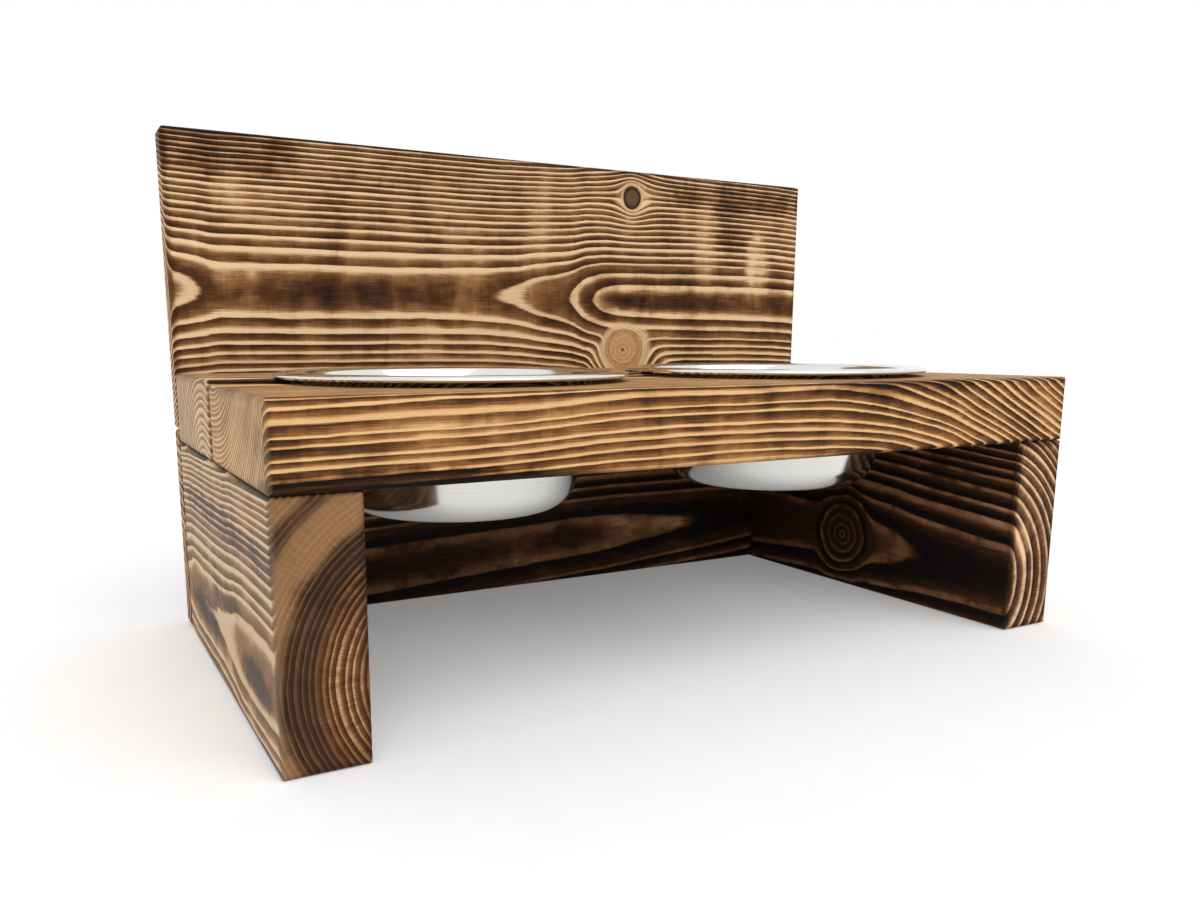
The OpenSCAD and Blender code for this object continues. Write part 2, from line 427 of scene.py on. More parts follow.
def scorched_grain():
    """Colour, roughness and relief of torched and brushed softwood."""
    graph, given, finish = new_group(
        "Scorched Grain",
        Vector=("Position",),
        Float=("Rings", "Burn", "End Grain", "End Dulling", "Ray", "Edge", "Line Width"),
        Color=("Pale", "Honey", "Brown", "Char"),
    )
    place = given["Position"]

    # Patterns in the wood and in the torch's touch, in cycles for each millimetre along and across.
    fibre = graph.noise(place, (1 / 30, 2.2, 2.2), detail=3.0, roughness=0.6)[0]
    hair = graph.noise(place, (1 / 9, 5.0, 5.0), detail=1.0)[0]
    blotch = graph.noise(place, (1 / 30, 1 / 60, 1 / 60), roughness=0.55, distortion=0.5)[0]
    mottle = graph.noise(place, (1 / 14, 1 / 6, 1 / 6), detail=3.0)[0]
    lick = graph.noise(place, (1 / 2.6, 1 / 16, 1 / 16))[0]
    frayed = graph.sway(given["Rings"], fibre, 0.0, 1.0, 0.12)
    season = graph.maths("FRACT", frayed)
    chance = graph.node("ShaderNodeTexWhiteNoise", noise_dimensions="1D")
    graph.fill(chance, W=graph.maths("FLOOR", frayed))
    width_luck, tone_luck, burn_luck = graph.split(chance.outputs["Color"])

    # Late wood is the narrow hard line at the end of each year, and stands up when brushed.
    width = graph.times(graph.slope(width_luck, 0.0, 1.0, 0.65, 1.35), given["Line Width"])
    start = graph.minus(LATE_WOOD_END, graph.times(width, 1.55))
    full = graph.minus(LATE_WOOD_END, graph.times(width, 0.5))
    late = graph.times(graph.ramp(season, start, full), graph.ramp(season, LATE_WOOD_END, 1.0, 1.0, 0.0))

    # The incoming scorch also carries each side's painted shade and light.
    burn_and_shade = graph.sway(given["Burn"], blotch, 0.3, 0.7, 0.18)
    burn_and_shade = graph.sway(burn_and_shade, mottle, 0.25, 0.75, 0.12)
    burn_and_shade = graph.sway(burn_and_shade, lick, 0.25, 0.75, 0.05)
    burn_and_shade = graph.sway(burn_and_shade, burn_luck, 0.0, 1.0, 0.08)
    burn_and_shade = graph.plus(burn_and_shade, graph.ramp(given["Edge"], 0.0, SINGED_REACH, 0.3, 0.0))
    ray = graph.slope(given["Ray"], 0.35, 0.7, -0.06, 0.10)
    burn_and_shade = graph.plus(burn_and_shade, graph.times(ray, given["End Grain"]))

    # Early wood is scorched first, and the hard lines hold out longer.
    early = graph.slope(burn_and_shade, -0.2, 1.0, 0.92, 0.0)
    early = graph.plus(early, graph.ramp(season, 0.0, 0.6, -0.14, 0.12))
    early = graph.sway(early, fibre, 0.3, 0.7, 0.10)
    line = graph.slope(burn_and_shade, 0.55, 1.35, 1.02, 0.42)
    line = graph.minus(line, graph.ramp(burn_and_shade, 1.2, 1.6, 0.0, 0.35))
    line = graph.minus(line, graph.ramp(tone_luck, 0.4, 1.0, 0.0, 0.12))
    dulled = graph.times(given["End Grain"], given["End Dulling"])
    line = graph.minus(line, graph.times(dulled, graph.ramp(burn_and_shade, 0.1, 0.7)))
    line = graph.sway(line, fibre, 0.3, 0.7, 0.05)
    tone = graph.sway(graph.lerp(late, early, line), hair, 0.25, 0.75, 0.05)
    rubbed = graph.ramp(given["Edge"], 0.0, RUBBED_REACH, 1.0, 0.0)
    tone = graph.plus(tone, graph.times(rubbed, graph.ramp(mottle, 0.45, 0.6, 0.0, 0.22)))
    colour = given["Char"]
    for name, low, high in TONE_STOPS:
        colour = graph.blend(graph.slope(tone, low, high), colour, given[name])

    rough = graph.sway(graph.slope(late, 0.0, 1.0, 0.66, 0.46), fibre, 0.3, 0.7, 0.07)
    relief = graph.plus(graph.times(late, 0.75), graph.times(fibre, 0.2))
    relief = graph.plus(relief, graph.times(hair, 0.1))
    return finish(Color=colour, Roughness=rough, Height=relief)


class Knot(NamedTuple):
    """A branch that passes through a board. Places are millimetres on the stand."""

    centre: tuple
    direction: tuple
    core_radius: float
    core_rings: float
    reach: float
    pull: float
    tone: tuple
    cover: float
    bark: float = 0.0
    flow: float = 0.0
    swirl: float = 0.0


class Band(NamedTuple):
    """Years that are one tone on the end grain, by their distance from the pith in millimetres."""

    middle: float
    half_width: float
    tone: tuple
    cover: float


class Patch(NamedTuple):
    """A place that is scorched more or less than its surroundings, in millimetres."""

    centre: tuple
    half_size: tuple
    amount: float


class Board(NamedTuple):
    """How one board was cut from its tree and scorched, and the shade and sheen painted on it.

    The pith's place and the drift of the years are plain numbers, or (place along, value) points.
    The two scorch settings are for the faces that look right, back and up, and left, to the front and down;
    they also hold painted shade, darker on the sides that face into the bay and underneath, and painted
    light, paler on the brightly lit ends.
    """

    node: str
    pith_depth: tuple | float
    pith_height: tuple | float
    ring_width: float
    right_back_top: tuple
    left_front_bottom: tuple
    grain: str = "X"
    crowding: float = 0.0
    drift: tuple | float = 0.0
    line_width: float = 0.3
    wander: float = 5.0
    ripple: float = 0.8
    unevenness: float = 1.0
    knots: tuple = ()
    patches: tuple = ()
    bands: tuple = ()
    pale: tuple = (0.87, 0.62, 0.36)
    honey: tuple = (0.33, 0.152, 0.055)
    end_dulling: float = 0.2
    # Direction and strength of a painted grey sheen, for faces seen at a grazing angle.
    ash: tuple = (0, 0, 0)


# Upright faces: the axis that they look along, their place on it and how deep a patch goes.
BACK_BOARDS = (1, 130, 40)
FRONT_EDGE = (1, -154, 30)
LEFT_SIDE = (0, -280, 30)


def patches_on(face, *rows):
    """Patches on an upright face, each with its place along, height, two half sizes and amount."""
    axis, level, depth = face
    made = []
    for along, height, half_length, half_height, amount in rows:
        centre = [along, height]
        centre.insert(axis, level)
        half_size = [half_length, half_height]
        half_size.insert(axis, depth)
        made.append(Patch(tuple(centre), tuple(half_size), amount))
    return tuple(made)


# Each board's two side settings paint shade as well as scorch: sides that face into the bay and undersides
# are set darker, and the lit ends of the top boards paler.
BOARDS = (
    Board(
        node="upper_back_board",
        pith_depth=(
            (-280, 165.8), (-258, 168.2), (-246, 169.6), (-150, 169.6), (-80, 169.3), (-30, 168.1),
            (5, 164.8), (31, 161.8), (55, 154.6), (90, 150.2), (150, 149.6), (280, 148.6),
        ),
        pith_height=((-280, 241), (0, 242), (280, 238)),
        ring_width=11.3,
        crowding=0.022,
        drift=0.22,
        right_back_top=(0.3, 0.45, 0.8),
        left_front_bottom=(0.3, 0.5, 0.5),
        line_width=0.29,
        wander=2.0,
        ripple=0.7,
        unevenness=0.3,
        knots=(
            Knot((86, 130, 199), (0.5, -1, 0), 18, 4.8, 90, 3.4, (0.66, 0.33, 0.14), 0.88, 0.2, 0, 0.8),
            Knot((94, 130, 326), (0, -1, 0.3), 9, 16, 90, 0.5, (0.13, 0.055, 0.03), 0.95, 1.0, 10, 0.5),
        ),
        patches=patches_on(
            BACK_BOARDS,
            (-236, 306, 16, 16, -0.3), (-62, 262, 22, 44, -0.25), (8, 300, 14, 44, -0.2),
            (172, 290, 14, 60, -0.3), (200, 330, 100, 14, 0.35), (205, 306, 26, 24, 0.3),
            (232, 272, 15, 34, -0.6), (76, 240, 24, 10, 0.45), (-92, 205, 16, 20, -0.3),
            (-245, 338, 60, 22, 0.35), (86, 200, 30, 28, -0.5), (108, 326, 30, 12, -0.4),
            (94, 326, 18, 17, -0.45), (-150, 240, 70, 12, 0.2), (-236, 252, 16, 12, -0.3),
            (150, 238, 50, 10, 0.25),
        ),
    ),
    Board(
        node="lower_back_board",
        pith_depth=((-280, 158), (0, 160), (45, 160), (109, 162.4), (185, 165), (280, 170)),
        pith_height=((-280, 22), (-143, 28), (45, 38), (147, 42), (280, 46)),
        ring_width=9.6,
        crowding=0.004,
        right_back_top=(0.3, 0.45, 0.8),
        left_front_bottom=(0.3, 1.05, 0.8),
        line_width=0.25,
        wander=2.0,
        patches=patches_on(
            BACK_BOARDS,
            (-20, 36, 26, 14, -0.35), (34, 40, 18, 14, 0.4), (84, 42, 26, 10, -0.25),
            (-86, 30, 20, 14, 0.4), (145, 42, 46, 8, -0.25), (-90, 40, 70, 30, 0.12),
        ),
        pale=(0.74, 0.44, 0.225),
        honey=(0.25, 0.115, 0.048),
    ),
    Board(
        node="front_top_board",
        pith_depth=-22,
        pith_height=240,
        ring_width=2.9,
        drift=(
            (-280, -0.9), (-100, 0.0), (0, 0.2), (80, 0.0), (140, -1.8), (190, -5.0), (235, -8.6),
            (280, -12.6),
        ),
        right_back_top=(0.14, 0.8, 0.35),
        left_front_bottom=(0.14, 0.49, 0.95),
        line_width=0.29,
        ripple=0.5,
        patches=patches_on(
            FRONT_EDGE,
            (-225, 138, 80, 8, 0.9), (-250, 160, 46, 12, 0.2), (-210, 163, 60, 7, -0.35),
            (-120, 168, 70, 10, -0.15), (120, 178, 90, 8, 0.3),
        ),
        bands=(Band(170, 400, (0.50, 0.38, 0.25), 0.3),),
        pale=(0.83, 0.525, 0.235),
        honey=(0.37, 0.158, 0.049),
    ),
    Board(
        node="rear_top_board",
        pith_depth=20,
        pith_height=100,
        ring_width=4.7,
        drift=((-280, 0.0), (0, 0.7), (280, -0.4)),
        right_back_top=(0.1, 0.8, 0.35),
        left_front_bottom=(0.1, 0.8, 0.95),
        bands=(Band(130, 400, (0.52, 0.41, 0.27), 0.3),),
    ),
    Board(
        node="left_leg",
        grain="Y",
        pith_depth=-189,
        pith_height=((-154, 43), (130, 36)),
        ring_width=6.26,
        crowding=0.0115,
        drift=(
            (-154, 0.27), (-100, 0.22), (-60, 0.37), (-40, 0.65), (-16, 0.86), (10, 0.97), (50, 1.0),
            (97, 1.05), (110, 1.25), (130, 1.5),
        ),
        right_back_top=(1.05, 0.8, 0.8),
        left_front_bottom=(0.25, 0.78, 0.8),
        # Painted sheen on the outer face, which the camera sees at a grazing angle.
        ash=(-0.24, 0, 0),
        wander=0.8,
        line_width=0.32,
        patches=patches_on(
            LEFT_SIDE,
            (52, 33, 56, 10, 0.55), (-104, 34, 42, 12, 0.75), (-30, 60, 46, 8, 0.45),
            (-10, 104, 170, 9, 0.6), (-30, 33, 20, 14, -0.35),
        ),
        bands=(
            Band(50, 26, (0.2, 0.075, 0.035), 0.2),
            Band(82, 10, (0.034, 0.016, 0.009), 0.8),
            Band(101, 10, (0.38, 0.20, 0.088), 0.78),
            Band(115, 4, (0.07, 0.034, 0.018), 0.8),
            Band(124, 6, (0.34, 0.18, 0.08), 0.75),
        ),
    ),
    Board(
        node="right_leg",
        grain="Y",
        pith_depth=195,
        pith_height=((-154, 36), (9, 43), (130, 44)),
        ring_width=60,
        crowding=0.09,
        drift=((-154, 3.5), (-76, 3.28), (-40, 3.0), (9, 2.8), (60, 2.75), (100, 2.6), (130, 2.5)),
        right_back_top=(0.42, 0.8, 0.8),
        left_front_bottom=(1.2, 0.69, 0.8),
        line_width=0.25,
        wander=3.0,
        knots=(Knot((235, 9, 43), (1, 0, 0), 21, 3.4, -130, 1.5, (0.035, 0.015, 0.01), 0.6),),
        patches=(
            Patch((246, -154, 64), (10, 20, 14), -0.45),
            Patch((235, -62, 42), (30, 30, 14), -0.12),
            Patch((235, -150, 75), (30, 30, 50), -0.15),
        ),
        honey=(0.33, 0.15, 0.07),
        end_dulling=0.05,
    ),
)


def over_knots(graph, colour, cores, rings, place, tones):
    """Lays the knots' own colours over the grain: rings, pith, bark and the cream swirl round them."""
    pale, honey, char = tones
    season = graph.maths("FRACT", rings)
    speck = graph.noise(place, 1 / 2.5, detail=4.0)[0]
    shade = graph.times(graph.ramp(season, 0.6, 0.95, 1.0, 0.72), graph.slope(speck, 0.3, 0.7, 0.72, 1.15))
    for knot, core, share in cores:
        tone = graph.blend(1.0, (*knot.tone, 1), graph.joined(shade, shade, shade), mode="MULTIPLY")
        tone = graph.blend(graph.ramp(share, 0.04, 0.1, 1.0, 0.0), tone, char)
        bark = graph.maths("ABSOLUTE", graph.minus(share, 0.86))
        bark = graph.times(graph.ramp(bark, 0.1, 0.28, 1.0, 0.0), knot.bark)
        tone = graph.blend(bark, tone, char)
        if knot.swirl:
            turns = graph.plus(graph.times(share, 9.0), graph.times(speck, 0.8))
            curl = graph.ramp(graph.maths("FRACT", turns), 0.3, 0.9)
            cream = graph.blend(0.6, graph.blend(curl, honey, pale), pale)
            colour = graph.blend(graph.ramp(share, 1.16, 1.42, knot.swirl, 0.0), colour, cream)
        colour = graph.blend(graph.times(core, knot.cover), colour, tone)
    return colour


def board_material(board, groups, settings):
    """The finish of one board: its own tree, its knots, the way that it was torched, and the shade and sheen
    painted on its sides.
    """
    material, graph, place, normal = new_material(board.node.replace("_", " ").title())
    pale, honey, brown, char, ash = (
        (*tone, 1) for tone in (board.pale, board.honey, settings.brown, settings.char, settings.ash)
    )
    x, y, z = graph.split(place)
    lengthwise = board.grain == "Y"
    turned = graph.joined(y, x, z) if lengthwise else place
    distance = y if lengthwise else x
    end_axis = (0, 1, 0) if lengthwise else (1, 0, 0)
    for knot in board.knots:
        if knot.flow:
            turned = graph.group(groups["Flow Round"], knot, Position=turned, Radius=knot.flow)[0]

    rings, radius, ray = graph.group(
        groups["Trunk Rings"],
        board,
        Position=turned,
        Pith_Depth=graph.along(distance, board.pith_depth),
        Pith_Height=graph.along(distance, board.pith_height),
        Drift=graph.along(distance, board.drift),
    )
    # Scorch for each side, with painted shade on the sides in the bay and underneath, and painted light on
    # the lit ends.
    burn_and_shade = graph.group(groups["Face Burn"], board, Normal=normal)[0]
    for patch in board.patches:
        burn_and_shade = graph.group(groups["Torch Patch"], patch, Burn=burn_and_shade, Position=place)[0]
    end = graph.maths("ABSOLUTE", graph.vector("DOT_PRODUCT", normal, end_axis))
    cores = []
    for knot in board.knots:
        rings, core, share = graph.group(groups["Knot"], knot, Rings=rings, Position=place)
        cores.append((knot, core, share))
    lowest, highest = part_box(board.node)
    edge = graph.group(
        groups["Edge Distance"],
        Position=place,
        Lowest=Vector(lowest) / MM,
        Highest=Vector(highest) / MM,
    )[0]
    colour, rough, relief = graph.group(
        groups["Scorched Grain"],
        board,
        Rings=rings,
        Position=turned,
        Burn=burn_and_shade,
        End_Grain=end,
        Ray=ray,
        Edge=edge,
        Line_Width=board.line_width * settings.line_scale,
        Pale=pale,
        Honey=honey,
        Brown=brown,
        Char=char,
    )
    for band in board.bands:
        colour = graph.group(
            groups["Year Band"],
            band,
            Color=colour,
            Position=place,
            Radius=radius,
            Ray=ray,
            Tone=(*band.tone, 1),
            Cover=graph.times(end, band.cover),
        )[0]
    # Painted sheen: faces that look along the board's sheen direction are mixed towards a grey tone,
    # standing in for the haze that a grazing view reflects from the bright surroundings.
    if any(board.ash):
        sheen_share = graph.vector("DOT_PRODUCT", normal, board.ash)
        colour = graph.blend(graph.maths("MAXIMUM", sheen_share, 0.0), colour, ash)
    if cores:
        colour = over_knots(graph, colour, cores, rings, place, (pale, honey, char))
    depth = settings.brushed_depth
    finish_surface(graph, colour, rough, relief, strength=0.6, depth=depth, Specular_IOR_Level=0.1)
    return material


# Steel, beech and zinc


def steel_material(axis):
    """Polished steel, with fine circles that the spinning tool left round the bowl's own axis."""
    material, graph, place, _ = new_material("Polished Steel")
    x, y, z = graph.split(place)
    folded = graph.joined(graph.maths("ABSOLUTE", x), y, 0.0)
    radius = graph.vector("LENGTH", graph.vector("SUBTRACT", folded, axis))
    line = graph.noise(graph.joined(radius, z, 0.0), 2.2)[0]
    smear = graph.noise(place, 1 / 30, detail=3.0)[0]
    rough = graph.plus(graph.slope(smear, 0.3, 0.7, 0.10, 0.17), graph.slope(line, 0.3, 0.7, -0.02, 0.03))
    colour = graph.blend(graph.ramp(line, 0.3, 0.7), (0.74, 0.74, 0.71, 1), (0.82, 0.82, 0.79, 1))
    finish_surface(graph, colour, rough, line, strength=0.08, depth=0.0001, Metallic=1.0)
    return material


def beech_material():
    material, graph, place, _ = new_material("Raw Beech")
    fibre = graph.noise(place, (2.5, 2.5, 1 / 12), detail=3.0)[0]
    colour = graph.blend(graph.ramp(fibre, 0.3, 0.7), (0.60, 0.38, 0.20, 1), (0.72, 0.52, 0.32, 1))
    rough = graph.slope(fibre, 0.3, 0.7, 0.65, 0.55)
    finish_surface(graph, colour, rough, fibre, strength=0.3, depth=0.0001)
    return material


def zinc_material():
    material, graph, place, _ = new_material("Yellow Zinc")
    bloom = graph.noise(place, 0.6, detail=3.0)[0]
    colour = graph.blend(graph.ramp(bloom, 0.3, 0.7), (0.72, 0.55, 0.22, 1), (0.66, 0.60, 0.42, 1))
    rough = graph.slope(bloom, 0.3, 0.7, 0.28, 0.42)
    finish_surface(graph, colour, rough, bloom, strength=0.2, depth=0.00005, Metallic=1.0)
    return material


# Geometry Nodes


def geometry_tree(name, **labels):
    """Starts a Geometry Nodes tree, and returns its graph, its inputs and what finishes it."""
    tree = bpy.data.node_groups.new(name, "GeometryNodeTree")
    add_inputs(tree, {"Geometry": ("Geometry",), **labels})
    tree.interface.new_socket("Geometry", in_out="OUTPUT", socket_type="NodeSocketGeometry")
    graph = Graph(tree)

    def finish(geometry, material):
        real = graph.node("GeometryNodeRealizeInstances", geometry).outputs[0]
        dressed = graph.fill(graph.node("GeometryNodeSetMaterial", real), Material=material)
        graph.node("NodeGroupOutput", dressed.outputs[0])
        tidy_layout(tree)
        return tree

    return graph, graph.node("NodeGroupInput").outputs, finish


def new_object(name, data):
    """Puts a mesh, a lamp or a camera into the scene."""
    made = bpy.data.objects.new(name, data)
    bpy.context.collection.objects.link(made)
    return made


def grown(name, vertices, edges, attribute, tree, values):
    """Runs a tree on a few points or lines, and keeps the result as a plain mesh."""
    start = bpy.data.meshes.new(name + " start")
    start.from_pydata(vertices, edges, [])
    if attribute:
        label, numbers = attribute
        start.attributes.new(label, "FLOAT", "POINT").data.foreach_set("value", numbers)
    seed = new_object(name + " start", start)
    modifier = seed.modifiers.new(tree.name, "NODES")
    modifier.node_group = tree
    sockets = {item.name: item.identifier for item in tree.interface.items_tree if item.in_out == "INPUT"}
    for label, value in values.items():
        modifier[sockets[label]] = value
    ready = seed.evaluated_get(bpy.context.evaluated_depsgraph_get())
    mesh = bpy.data.meshes.new_from_object(ready)
    mesh.name = name
    bpy.data.objects.remove(seed)
    bpy.data.meshes.remove(start)
    return new_object(name, mesh)


def spun_bowl_tree():
    """Rounds the corners of a bowl's outline, and turns it round the bowl's axis."""
    graph, given, finish = geometry_tree(
        "Spun Bowl",
        Material=("Material",),
        Vector=("Place",),
        Float=("Turning Radius",),
        Int=("Steps Round", "Steps in a Bend"),
    )
    outline = graph.node("GeometryNodeMeshToCurve", given["Geometry"]).outputs[0]
    bend = graph.node("GeometryNodeInputNamedAttribute", "bend", data_type="FLOAT").outputs[0]
    rounded = graph.node("GeometryNodeFilletCurve", outline, mode="POLY")
    graph.fill(rounded, Radius=bend, Count=given["Steps in a Bend"])
    circle = graph.node("GeometryNodeCurvePrimitiveCircle", mode="RADIUS")
    graph.fill(circle, Resolution=given["Steps Round"], Radius=given["Turning Radius"])
    turned = graph.node("GeometryNodeCurveToMesh", circle.outputs[0], rounded.outputs[0]).outputs[0]
    closed = graph.fill(graph.node("GeometryNodeMergeByDistance", turned), Distance=WELD_GAP)
    placed = graph.fill(graph.node("GeometryNodeTransform", closed.outputs[0]), Translation=given["Place"])
    smooth = graph.node("GeometryNodeSetShadeSmooth", placed.outputs[0]).outputs[0]
    return finish(smooth, given["Material"])


def fluted_dowel_tree():
    """Stands a fluted pin with chamfered ends on every point."""
    graph, given, finish = geometry_tree(
        "Fluted Dowels",
        Material=("Material",),
        Float=("Diameter", "Length", "Chamfer", "Flute Depth"),
        Int=("Flutes",),
    )
    radius = graph.times(given["Diameter"], 0.5)
    half = graph.times(given["Length"], 0.5)
    pin = graph.node("GeometryNodeMeshCylinder")
    graph.fill(pin, Vertices=graph.times(given["Flutes"], FLUTE_FACES), Side_Segments=DOWEL_RINGS)
    graph.fill(pin, Radius=radius, Depth=given["Length"])
    x, y, z = graph.split(graph.node("GeometryNodeInputPosition").outputs[0])
    at_end = graph.maths("GREATER_THAN", graph.maths("ABSOLUTE", z), graph.times(half, 0.8))
    wave = graph.maths("COSINE", graph.times(graph.maths("ARCTAN2", y, x), given["Flutes"]))
    flute = graph.times(graph.times(graph.plus(wave, 1.0), 0.5), given["Flute Depth"])
    narrower = graph.lerp(at_end, flute, given["Chamfer"])
    share = graph.minus(1.0, graph.over(narrower, radius))
    shoulder = graph.minus(half, given["Chamfer"])
    level = graph.times(graph.maths("SIGN", z), graph.lerp(at_end, shoulder, half))
    place = graph.joined(graph.times(x, share), graph.times(y, share), level)
    cut = graph.fill(graph.node("GeometryNodeSetPosition", pin.outputs["Mesh"]), Position=place)
    stood = graph.node("GeometryNodeInstanceOnPoints", given["Geometry"])
    graph.fill(stood, Instance=cut.outputs[0])
    return finish(stood.outputs[0], given["Material"])


# Settings


def setting(kind, **fixed):
    """Makes settings of one kind from a name, a description, a value and its limits."""

    def make(name, description, default, low=0.0, high=1.0):
        return kind(name=name, description=description, default=default, min=low, max=high, **fixed)

    return make


tint = setting(FloatVectorProperty, subtype="COLOR", size=3)
measure = setting(FloatProperty, unit="LENGTH", precision=5)
amount = setting(FloatProperty)
count = setting(IntProperty)


class WoodSettings(bpy.types.PropertyGroup):
    """Tones and relief of the scorched boards, and the grey tone of their painted sheen."""

    brown: tint("Brown", "Well scorched early wood", (0.1, 0.039, 0.013))
    char: tint("Char", "Burnt black wood", (0.006, 0.0025, 0.0018))
    # Grey tone of the painted sheen, standing in for reflected haze.
    ash: tint("Ash", "Pale dust left in the grain", (0.37, 0.32, 0.26))
    line_scale: amount("Line width", "Multiplies the width of the pale lines", 1.0, 0.3, 2.0)
    brushed_depth: measure("Brushed depth", "How far the hard lines stand up", 0.0004, 0.0, 0.002)


class BowlSettings(bpy.types.PropertyGroup):
    """Sizes of a spun steel bowl."""

    rim_diameter: measure("Rim diameter", "Outer diameter of the rolled rim", 0.223, 0.1, 0.4)
    rim_width: measure("Rim width", "From the wall to the rim's outer edge", 0.013, 0.008, 0.03)
    depth: measure("Depth", "From the seat under the rim to the underside of the base", 0.084, 0.03, 0.15)
    floor_diameter: measure("Floor diameter", "Flat part of the base", 0.115, 0.05, 0.2)
    corner_radius: measure("Corner radius", "Between base and wall", 0.021, 0.005, 0.04)
    sheet: measure("Sheet", "Thickness of the steel", 0.0008, 0.0004, 0.002)
    steps_round: count("Steps round", "Faces round the bowl", 160, 32, 256)
    steps_in_a_bend: count("Steps in a bend", "Faces round each bend", 12, 3, 24)


class DowelSettings(bpy.types.PropertyGroup):
    """Sizes of a fluted dowel."""

    diameter: measure("Diameter", "Across the tops of the flutes", 0.010, 0.006, 0.012)
    length: measure("Length", "End to end", 0.040, 0.03, 0.05)
    chamfer: measure("Chamfer", "At both ends", 0.001, 0.0003, 0.002)
    flutes: count("Flutes", "Glue grooves round the dowel", 16, 6, 32)
    flute_depth: measure("Flute depth", "Depth of a groove", 0.0004, 0.0, 0.001)


class StudioSettings(bpy.types.PropertyGroup):
    """Floor, backdrop and light."""

    floor_size: measure("Floor size", "Side of the pale floor", 8.0, 2.0, 20.0)
    key_strength: amount("Key light", "Strength of the large soft light", 1.1, 0.0, 20.0)
    sky: amount("Surrounding light", "Strength of the even light", 0.76, 0.0, 3.0)


# Outline of a bowl


def meeting(place, slope, other_place, other_slope):
    """Where two straight lines cross, each given by a place and the angle that it runs at."""
    ax, az = place
    bx, bz = other_place
    ux, uz = math.cos(slope), math.sin(slope)
    vx, vz = math.cos(other_slope), math.sin(other_slope)
    run = ((bx - ax) * vz - (bz - az) * vx) / (ux * vz - uz * vx)
    return (ax + run * ux, az + run * uz)


def sheet_face(size, lift):
    """Corners of one face of the sheet, lift above its underside, and the bend at each."""
    rim_r = size.rim_diameter / 2
    corner_r = size.corner_radius - lift
    mouth_r = MOUTH_BEND_R - size.sheet + lift
    crown_r = RIM_CROWN_R - size.sheet + lift
    roll_r = RIM_ROLL_R - size.sheet + lift
    floor_z = lift - size.depth
    ends = RIM_ROLL_R + MOUTH_BEND_R
    slope = math.asin((size.rim_width - ends) / (2 * RIM_CROWN_R - ends))
    roll_x = rim_r - RIM_ROLL_R
    crown_x = roll_x - (RIM_CROWN_R - RIM_ROLL_R) * math.sin(slope)
    crown_z = RIM_ROLL_R - (RIM_CROWN_R - RIM_ROLL_R) * math.cos(slope)
    bend_x = crown_x - (RIM_CROWN_R - MOUTH_BEND_R) * math.sin(slope)
    bend_z = crown_z + (RIM_CROWN_R - MOUTH_BEND_R) * math.cos(slope)
    corner_x = size.floor_diameter / 2
    corner_z = size.corner_radius - size.depth
    run = Vector((bend_x - corner_x, bend_z - corner_z))
    lean = math.acos((corner_r + mouth_r) / run.length) - math.atan2(run.y, run.x)
    wall = math.pi / 2 - lean
    on_wall = (bend_x - mouth_r * math.cos(lean), bend_z + mouth_r * math.sin(lean))
    rise = crown_r * math.sin(slope)
    on_rise = (crown_x - rise, crown_z + crown_r * math.cos(slope))
    on_fall = (crown_x + rise, on_rise[1])
    lip = (roll_x, RIM_ROLL_R - roll_r)
    foot = meeting((0, floor_z), 0.0, on_wall, wall)
    mouth = meeting(on_wall, wall, on_rise, slope)
    crown = meeting(on_rise, slope, on_fall, -slope)
    roll = meeting(on_fall, -slope, lip, 0.0)
    corners = [(0.0, floor_z), foot, mouth, crown, roll, lip]
    return corners, [0.0, corner_r, mouth_r, crown_r, roll_r, 0.0]


def bowl_outline(size):
    """The closed outline of the sheet: up its inside to the lip, and back along its underside."""
    under, under_bends = sheet_face(size, 0.0)
    inside, inside_bends = sheet_face(size, size.sheet)
    return inside + under[::-1], inside_bends + under_bends[::-1]


# Operators


def dress(node, material):
    """Gives one of the CAD pieces its material."""
    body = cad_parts[node]
    body.data.materials.clear()
    body.data.materials.append(material)


def box_middle(node):
    low, high = (Vector(corner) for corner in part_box(node))
    return (low + high) / 2


class STAND_OT_boards(bpy.types.Operator):
    """Gives each board the grain, knots and scorching of its own tree"""

    bl_idname = "stand.boards"
    bl_label = "Dress the Boards"

    def execute(self, context):
        trees = [build() for build in WOOD_GROUPS]
        groups = {tree.name: tree for tree in trees}
        for board in BOARDS:
            dress(board.node, board_material(board, groups, context.scene.stand_wood))
        return {"FINISHED"}


class STAND_OT_bowls(bpy.types.Operator):
    """Spins both steel bowls and hangs them in their cut-outs"""

    bl_idname = "stand.bowls"
    bl_label = "Make the Bowls"

    def execute(self, context):
        size = context.scene.stand_bowls
        tree = spun_bowl_tree()
        axis = (box_middle("right_bowl") / MM).to_2d().to_3d()
        material = steel_material(axis)
        corners, bends = bowl_outline(size)
        turning = size.rim_diameter / 2
        outline = [(x - turning, -z, 0.0) for x, z in corners]
        edges = [(i, i + 1) for i in range(len(outline) - 1)]
        for node in ("left_bowl", "right_bowl"):
            low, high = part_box(node)
            place = box_middle(node)
            place.z = low[2] + size.depth
            piece = grown(
                "spun_" + node, outline, edges, ("bend", bends), tree,
                {
                    "Material": material,
                    "Place": place,
                    "Turning Radius": turning,
                    "Steps Round": size.steps_round,
                    "Steps in a Bend": size.steps_in_a_bend,
                },
            )
            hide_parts(node)
            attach(piece, node)
        return {"FINISHED"}


